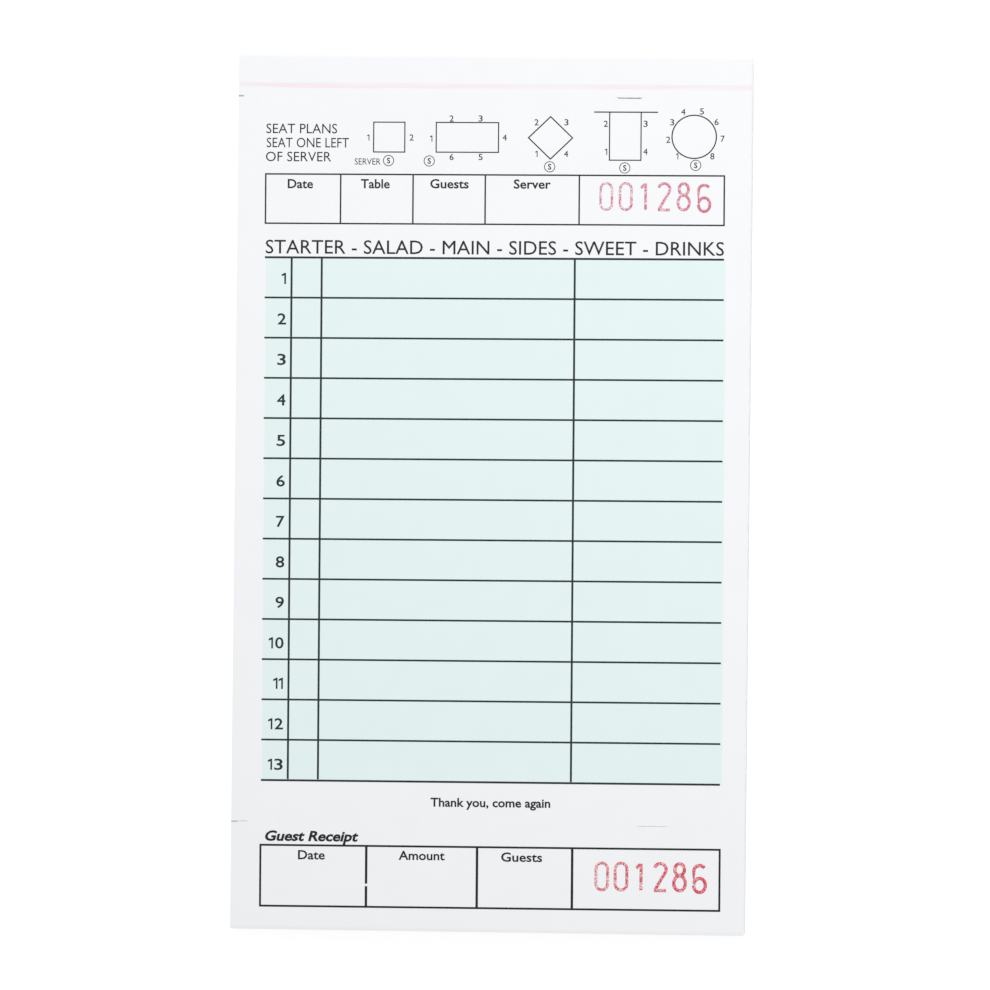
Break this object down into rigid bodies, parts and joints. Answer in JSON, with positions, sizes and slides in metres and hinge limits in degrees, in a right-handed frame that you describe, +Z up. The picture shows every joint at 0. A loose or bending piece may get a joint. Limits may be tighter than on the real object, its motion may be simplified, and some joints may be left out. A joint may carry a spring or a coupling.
{
  "type": "guest check pad",
  "caption": "Edge-padded restaurant guest check pad of two-ply carbonless sets on a chipboard back, with a tear-off stub perforation and a fold-up guest receipt.",
  "frame": {"origin": "middle of the pad's box on the underside, which lies on the table", "axes": "+Z up out of the printed face, +Y along the pad's length to the bound edge, +X to the right as the check is read"},
  "size_m": [0.108, 0.1842, 0.0097],
  "materials": {
    "chipboard": "matte",
    "padding_compound": "satin",
    "set_glue": "satin",
    "top_copy_paper": "matte",
    "second_copy_paper": "matte",
    "check_set_paper": "matte"
  },
  "bodies": {
    "bound_pad": {"backing_board": "chipboard", "padding_compound": "padding_compound", "bound_stub_block": "check_set_paper", "set_glue_line": "set_glue", "second_stub": "second_copy_paper", "top_stub": "top_copy_paper"},
    "set_02": {"check_set_02": "check_set_paper"},
    "set_03": {"check_set_03": "check_set_paper"},
    "set_04": {"check_set_04": "check_set_paper"},
    "set_05": {"check_set_05": "check_set_paper"},
    "set_06": {"check_set_06": "check_set_paper"},
    "set_07": {"check_set_07": "check_set_paper"},
    "set_08": {"check_set_08": "check_set_paper"},
    "set_09": {"check_set_09": "check_set_paper"},
    "set_10": {"check_set_10": "check_set_paper"},
    "set_11": {"check_set_11": "check_set_paper"},
    "set_12": {"check_set_12": "check_set_paper"},
    "set_13": {"check_set_13": "check_set_paper"},
    "set_14": {"check_set_14": "check_set_paper"},
    "set_15": {"check_set_15": "check_set_paper"},
    "set_16": {"check_set_16": "check_set_paper"},
    "set_17": {"check_set_17": "check_set_paper"},
    "set_18": {"check_set_18": "check_set_paper"},
    "set_19": {"check_set_19": "check_set_paper"},
    "set_20": {"check_set_20": "check_set_paper"},
    "set_21": {"check_set_21": "check_set_paper"},
    "set_22": {"check_set_22": "check_set_paper"},
    "set_23": {"check_set_23": "check_set_paper"},
    "set_24": {"check_set_24": "check_set_paper"},
    "set_25": {"check_set_25": "check_set_paper"},
    "set_26": {"check_set_26": "check_set_paper"},
    "set_27": {"check_set_27": "check_set_paper"},
    "set_28": {"check_set_28": "check_set_paper"},
    "set_29": {"check_set_29": "check_set_paper"},
    "set_30": {"check_set_30": "check_set_paper"},
    "set_31": {"check_set_31": "check_set_paper"},
    "set_32": {"check_set_32": "check_set_paper"},
    "set_33": {"check_set_33": "check_set_paper"},
    "set_34": {"check_set_34": "check_set_paper"},
    "set_35": {"check_set_35": "check_set_paper"},
    "set_36": {"check_set_36": "check_set_paper"},
    "set_37": {"check_set_37": "check_set_paper"},
    "set_38": {"check_set_38": "check_set_paper"},
    "set_39": {"check_set_39": "check_set_paper"},
    "set_40": {"check_set_40": "check_set_paper"},
    "set_41": {"check_set_41": "check_set_paper"},
    "set_42": {"check_set_42": "check_set_paper"},
    "set_43": {"check_set_43": "check_set_paper"},
    "set_44": {"check_set_44": "check_set_paper"},
    "set_45": {"check_set_45": "check_set_paper"},
    "set_46": {"check_set_46": "check_set_paper"},
    "set_47": {"check_set_47": "check_set_paper"},
    "set_48": {"check_set_48": "check_set_paper"},
    "set_49": {"check_set_49": "check_set_paper"},
    "set_50": {"check_set_50": "check_set_paper"},
    "front_second_copy": {"second_check": "second_copy_paper"},
    "front_top_copy": {"top_check": "top_copy_paper"},
    "second_copy_receipt": {"second_receipt": "second_copy_paper"},
    "top_copy_receipt": {"top_receipt": "top_copy_paper"}
  },
  "joints": [
    {"name": "set_02_lift", "type": "hinge", "parent": "bound_pad", "child": "set_02", "pos_m": [0, 0.08325, 0.0097], "axis": [-1, 0, 0], "range_deg": [0, 40]},
    {"name": "set_03_lift", "type": "hinge", "parent": "bound_pad", "child": "set_03", "pos_m": [0, 0.08325, 0.0097], "axis": [-1, 0, 0], "range_deg": [0, 39.2]},
    {"name": "set_04_lift", "type": "hinge", "parent": "bound_pad", "child": "set_04", "pos_m": [0, 0.08325, 0.0097], "axis": [-1, 0, 0], "range_deg": [0, 38.38]},
    {"name": "set_05_lift", "type": "hinge", "parent": "bound_pad", "child": "set_05", "pos_m": [0, 0.08325, 0.0097], "axis": [-1, 0, 0], "range_deg": [0, 37.57]},
    {"name": "set_06_lift", "type": "hinge", "parent": "bound_pad", "child": "set_06", "pos_m": [0, 0.08325, 0.0097], "axis": [-1, 0, 0], "range_deg": [0, 36.75]},
    {"name": "set_07_lift", "type": "hinge", "parent": "bound_pad", "child": "set_07", "pos_m": [0, 0.08325, 0.0097], "axis": [-1, 0, 0], "range_deg": [0, 35.93]},
    {"name": "set_08_lift", "type": "hinge", "parent": "bound_pad", "child": "set_08", "pos_m": [0, 0.08325, 0.0097], "axis": [-1, 0, 0], "range_deg": [0, 35.12]},
    {"name": "set_09_lift", "type": "hinge", "parent": "bound_pad", "child": "set_09", "pos_m": [0, 0.08325, 0.0097], "axis": [-1, 0, 0], "range_deg": [0, 34.3]},
    {"name": "set_10_lift", "type": "hinge", "parent": "bound_pad", "child": "set_10", "pos_m": [0, 0.08325, 0.0097], "axis": [-1, 0, 0], "range_deg": [0, 33.48]},
    {"name": "set_11_lift", "type": "hinge", "parent": "bound_pad", "child": "set_11", "pos_m": [0, 0.08325, 0.0097], "axis": [-1, 0, 0], "range_deg": [0, 32.67]},
    {"name": "set_12_lift", "type": "hinge", "parent": "bound_pad", "child": "set_12", "pos_m": [0, 0.08325, 0.0097], "axis": [-1, 0, 0], "range_deg": [0, 31.85]},
    {"name": "set_13_lift", "type": "hinge", "parent": "bound_pad", "child": "set_13", "pos_m": [0, 0.08325, 0.0097], "axis": [-1, 0, 0], "range_deg": [0, 31.04]},
    {"name": "set_14_lift", "type": "hinge", "parent": "bound_pad", "child": "set_14", "pos_m": [0, 0.08325, 0.0097], "axis": [-1, 0, 0], "range_deg": [0, 30.22]},
    {"name": "set_15_lift", "type": "hinge", "parent": "bound_pad", "child": "set_15", "pos_m": [0, 0.08325, 0.0097], "axis": [-1, 0, 0], "range_deg": [0, 29.4]},
    {"name": "set_16_lift", "type": "hinge", "parent": "bound_pad", "child": "set_16", "pos_m": [0, 0.08325, 0.0097], "axis": [-1, 0, 0], "range_deg": [0, 28.59]},
    {"name": "set_17_lift", "type": "hinge", "parent": "bound_pad", "child": "set_17", "pos_m": [0, 0.08325, 0.0097], "axis": [-1, 0, 0], "range_deg": [0, 27.77]},
    {"name": "set_18_lift", "type": "hinge", "parent": "bound_pad", "child": "set_18", "pos_m": [0, 0.08325, 0.0097], "axis": [-1, 0, 0], "range_deg": [0, 26.95]},
    {"name": "set_19_lift", "type": "hinge", "parent": "bound_pad", "child": "set_19", "pos_m": [0, 0.08325, 0.0097], "axis": [-1, 0, 0], "range_deg": [0, 26.14]},
    {"name": "set_20_lift", "type": "hinge", "parent": "bound_pad", "child": "set_20", "pos_m": [0, 0.08325, 0.0097], "axis": [-1, 0, 0], "range_deg": [0, 25.32]},
    {"name": "set_21_lift", "type": "hinge", "parent": "bound_pad", "child": "set_21", "pos_m": [0, 0.08325, 0.0097], "axis": [-1, 0, 0], "range_deg": [0, 24.5]},
    {"name": "set_22_lift", "type": "hinge", "parent": "bound_pad", "child": "set_22", "pos_m": [0, 0.08325, 0.0097], "axis": [-1, 0, 0], "range_deg": [0, 23.69]},
    {"name": "set_23_lift", "type": "hinge", "parent": "bound_pad", "child": "set_23", "pos_m": [0, 0.08325, 0.0097], "axis": [-1, 0, 0], "range_deg": [0, 22.87]},
    {"name": "set_24_lift", "type": "hinge", "parent": "bound_pad", "child": "set_24", "pos_m": [0, 0.08325, 0.0097], "axis": [-1, 0, 0], "range_deg": [0, 22.06]},
    {"name": "set_25_lift", "type": "hinge", "parent": "bound_pad", "child": "set_25", "pos_m": [0, 0.08325, 0.0097], "axis": [-1, 0, 0], "range_deg": [0, 21.24]},
    {"name": "set_26_lift", "type": "hinge", "parent": "bound_pad", "child": "set_26", "pos_m": [0, 0.08325, 0.0097], "axis": [-1, 0, 0], "range_deg": [0, 20.42]},
    {"name": "set_27_lift", "type": "hinge", "parent": "bound_pad", "child": "set_27", "pos_m": [0, 0.08325, 0.0097], "axis": [-1, 0, 0], "range_deg": [0, 19.61]},
    {"name": "set_28_lift", "type": "hinge", "parent": "bound_pad", "child": "set_28", "pos_m": [0, 0.08325, 0.0097], "axis": [-1, 0, 0], "range_deg": [0, 18.79]},
    {"name": "set_29_lift", "type": "hinge", "parent": "bound_pad", "child": "set_29", "pos_m": [0, 0.08325, 0.0097], "axis": [-1, 0, 0], "range_deg": [0, 17.97]},
    {"name": "set_30_lift", "type": "hinge", "parent": "bound_pad", "child": "set_30", "pos_m": [0, 0.08325, 0.0097], "axis": [-1, 0, 0], "range_deg": [0, 17.16]},
    {"name": "set_31_lift", "type": "hinge", "parent": "bound_pad", "child": "set_31", "pos_m": [0, 0.08325, 0.0097], "axis": [-1, 0, 0], "range_deg": [0, 16.34]},
    {"name": "set_32_lift", "type": "hinge", "parent": "bound_pad", "child": "set_32", "pos_m": [0, 0.08325, 0.0097], "axis": [-1, 0, 0], "range_deg": [0, 15.53]},
    {"name": "set_33_lift", "type": "hinge", "parent": "bound_pad", "child": "set_33", "pos_m": [0, 0.08325, 0.0097], "axis": [-1, 0, 0], "range_deg": [0, 14.71]},
    {"name": "set_34_lift", "type": "hinge", "parent": "bound_pad", "child": "set_34", "pos_m": [0, 0.08325, 0.0097], "axis": [-1, 0, 0], "range_deg": [0, 13.89]},
    {"name": "set_35_lift", "type": "hinge", "parent": "bound_pad", "child": "set_35", "pos_m": [0, 0.08325, 0.0097], "axis": [-1, 0, 0], "range_deg": [0, 13.08]},
    {"name": "set_36_lift", "type": "hinge", "parent": "bound_pad", "child": "set_36", "pos_m": [0, 0.08325, 0.0097], "axis": [-1, 0, 0], "range_deg": [0, 12.26]},
    {"name": "set_37_lift", "type": "hinge", "parent": "bound_pad", "child": "set_37", "pos_m": [0, 0.08325, 0.0097], "axis": [-1, 0, 0], "range_deg": [0, 11.44]},
    {"name": "set_38_lift", "type": "hinge", "parent": "bound_pad", "child": "set_38", "pos_m": [0, 0.08325, 0.0097], "axis": [-1, 0, 0], "range_deg": [0, 10.63]},
    {"name": "set_39_lift", "type": "hinge", "parent": "bound_pad", "child": "set_39", "pos_m": [0, 0.08325, 0.0097], "axis": [-1, 0, 0], "range_deg": [0, 9.81]},
    {"name": "set_40_lift", "type": "hinge", "parent": "bound_pad", "child": "set_40", "pos_m": [0, 0.08325, 0.0097], "axis": [-1, 0, 0], "range_deg": [0, 8.99]},
    {"name": "set_41_lift", "type": "hinge", "parent": "bound_pad", "child": "set_41", "pos_m": [0, 0.08325, 0.0097], "axis": [-1, 0, 0], "range_deg": [0, 8.18]},
    {"name": "set_42_lift", "type": "hinge", "parent": "bound_pad", "child": "set_42", "pos_m": [0, 0.08325, 0.0097], "axis": [-1, 0, 0], "range_deg": [0, 7.36]},
    {"name": "set_43_lift", "type": "hinge", "parent": "bound_pad", "child": "set_43", "pos_m": [0, 0.08325, 0.0097], "axis": [-1, 0, 0], "range_deg": [0, 6.55]},
    {"name": "set_44_lift", "type": "hinge", "parent": "bound_pad", "child": "set_44", "pos_m": [0, 0.08325, 0.0097], "axis": [-1, 0, 0], "range_deg": [0, 5.73]},
    {"name": "set_45_lift", "type": "hinge", "parent": "bound_pad", "child": "set_45", "pos_m": [0, 0.08325, 0.0097], "axis": [-1, 0, 0], "range_deg": [0, 4.91]},
    {"name": "set_46_lift", "type": "hinge", "parent": "bound_pad", "child": "set_46", "pos_m": [0, 0.08325, 0.0097], "axis": [-1, 0, 0], "range_deg": [0, 4.1]},
    {"name": "set_47_lift", "type": "hinge", "parent": "bound_pad", "child": "set_47", "pos_m": [0, 0.08325, 0.0097], "axis": [-1, 0, 0], "range_deg": [0, 3.28]},
    {"name": "set_48_lift", "type": "hinge", "parent": "bound_pad", "child": "set_48", "pos_m": [0, 0.08325, 0.0097], "axis": [-1, 0, 0], "range_deg": [0, 2.46]},
    {"name": "set_49_lift", "type": "hinge", "parent": "bound_pad", "child": "set_49", "pos_m": [0, 0.08325, 0.0097], "axis": [-1, 0, 0], "range_deg": [0, 1.65]},
    {"name": "set_50_lift", "type": "hinge", "parent": "bound_pad", "child": "set_50", "pos_m": [0, 0.08325, 0.0097], "axis": [-1, 0, 0], "range_deg": [0, 0.83]},
    {"name": "second_copy_lift", "type": "hinge", "parent": "set_02", "child": "front_second_copy", "pos_m": [0, 0.08325, 0.0097], "axis": [-1, 0, 0], "range_deg": [0, 60]},
    {"name": "top_copy_lift", "type": "hinge", "parent": "front_second_copy", "child": "front_top_copy", "pos_m": [0, 0.08325, 0.0097], "axis": [-1, 0, 0], "range_deg": [0, 75]},
    {"name": "second_receipt_fold", "type": "hinge", "parent": "front_second_copy", "child": "second_copy_receipt", "pos_m": [0, -0.06938, 0.0097], "axis": [-1, 0, 0], "range_deg": [0, 175]},
    {"name": "top_receipt_fold", "type": "hinge", "parent": "front_top_copy", "child": "top_copy_receipt", "pos_m": [0, -0.06938, 0.0097], "axis": [-1, 0, 0], "range_deg": [0, 175]}
  ],
  "couplings": [
    {"joint": "set_03_lift", "follows": "set_02_lift", "ratio": 0.97959},
    {"joint": "set_04_lift", "follows": "set_02_lift", "ratio": 0.95918},
    {"joint": "set_05_lift", "follows": "set_02_lift", "ratio": 0.93878},
    {"joint": "set_06_lift", "follows": "set_02_lift", "ratio": 0.91837},
    {"joint": "set_07_lift", "follows": "set_02_lift", "ratio": 0.89796},
    {"joint": "set_08_lift", "follows": "set_02_lift", "ratio": 0.87755},
    {"joint": "set_09_lift", "follows": "set_02_lift", "ratio": 0.85714},
    {"joint": "set_10_lift", "follows": "set_02_lift", "ratio": 0.83674},
    {"joint": "set_11_lift", "follows": "set_02_lift", "ratio": 0.81633},
    {"joint": "set_12_lift", "follows": "set_02_lift", "ratio": 0.79592},
    {"joint": "set_13_lift", "follows": "set_02_lift", "ratio": 0.77551},
    {"joint": "set_14_lift", "follows": "set_02_lift", "ratio": 0.7551},
    {"joint": "set_15_lift", "follows": "set_02_lift", "ratio": 0.73469},
    {"joint": "set_16_lift", "follows": "set_02_lift", "ratio": 0.71429},
    {"joint": "set_17_lift", "follows": "set_02_lift", "ratio": 0.69388},
    {"joint": "set_18_lift", "follows": "set_02_lift", "ratio": 0.67347},
    {"joint": "set_19_lift", "follows": "set_02_lift", "ratio": 0.65306},
    {"joint": "set_20_lift", "follows": "set_02_lift", "ratio": 0.63265},
    {"joint": "set_21_lift", "follows": "set_02_lift", "ratio": 0.61225},
    {"joint": "set_22_lift", "follows": "set_02_lift", "ratio": 0.59184},
    {"joint": "set_23_lift", "follows": "set_02_lift", "ratio": 0.57143},
    {"joint": "set_24_lift", "follows": "set_02_lift", "ratio": 0.55102},
    {"joint": "set_25_lift", "follows": "set_02_lift", "ratio": 0.53061},
    {"joint": "set_26_lift", "follows": "set_02_lift", "ratio": 0.5102},
    {"joint": "set_27_lift", "follows": "set_02_lift", "ratio": 0.4898},
    {"joint": "set_28_lift", "follows": "set_02_lift", "ratio": 0.46939},
    {"joint": "set_29_lift", "follows": "set_02_lift", "ratio": 0.44898},
    {"joint": "set_30_lift", "follows": "set_02_lift", "ratio": 0.42857},
    {"joint": "set_31_lift", "follows": "set_02_lift", "ratio": 0.40816},
    {"joint": "set_32_lift", "follows": "set_02_lift", "ratio": 0.38776},
    {"joint": "set_33_lift", "follows": "set_02_lift", "ratio": 0.36735},
    {"joint": "set_34_lift", "follows": "set_02_lift", "ratio": 0.34694},
    {"joint": "set_35_lift", "follows": "set_02_lift", "ratio": 0.32653},
    {"joint": "set_36_lift", "follows": "set_02_lift", "ratio": 0.30612},
    {"joint": "set_37_lift", "follows": "set_02_lift", "ratio": 0.28571},
    {"joint": "set_38_lift", "follows": "set_02_lift", "ratio": 0.26531},
    {"joint": "set_39_lift", "follows": "set_02_lift", "ratio": 0.2449},
    {"joint": "set_40_lift", "follows": "set_02_lift", "ratio": 0.22449},
    {"joint": "set_41_lift", "follows": "set_02_lift", "ratio": 0.20408},
    {"joint": "set_42_lift", "follows": "set_02_lift", "ratio": 0.18367},
    {"joint": "set_43_lift", "follows": "set_02_lift", "ratio": 0.16326},
    {"joint": "set_44_lift", "follows": "set_02_lift", "ratio": 0.14286},
    {"joint": "set_45_lift", "follows": "set_02_lift", "ratio": 0.12245},
    {"joint": "set_46_lift", "follows": "set_02_lift", "ratio": 0.10204},
    {"joint": "set_47_lift", "follows": "set_02_lift", "ratio": 0.081633},
    {"joint": "set_48_lift", "follows": "set_02_lift", "ratio": 0.061224},
    {"joint": "set_49_lift", "follows": "set_02_lift", "ratio": 0.040816},
    {"joint": "set_50_lift", "follows": "set_02_lift", "ratio": 0.020408},
    {"joint": "top_receipt_fold", "follows": "second_receipt_fold", "ratio": 1}
  ]
}
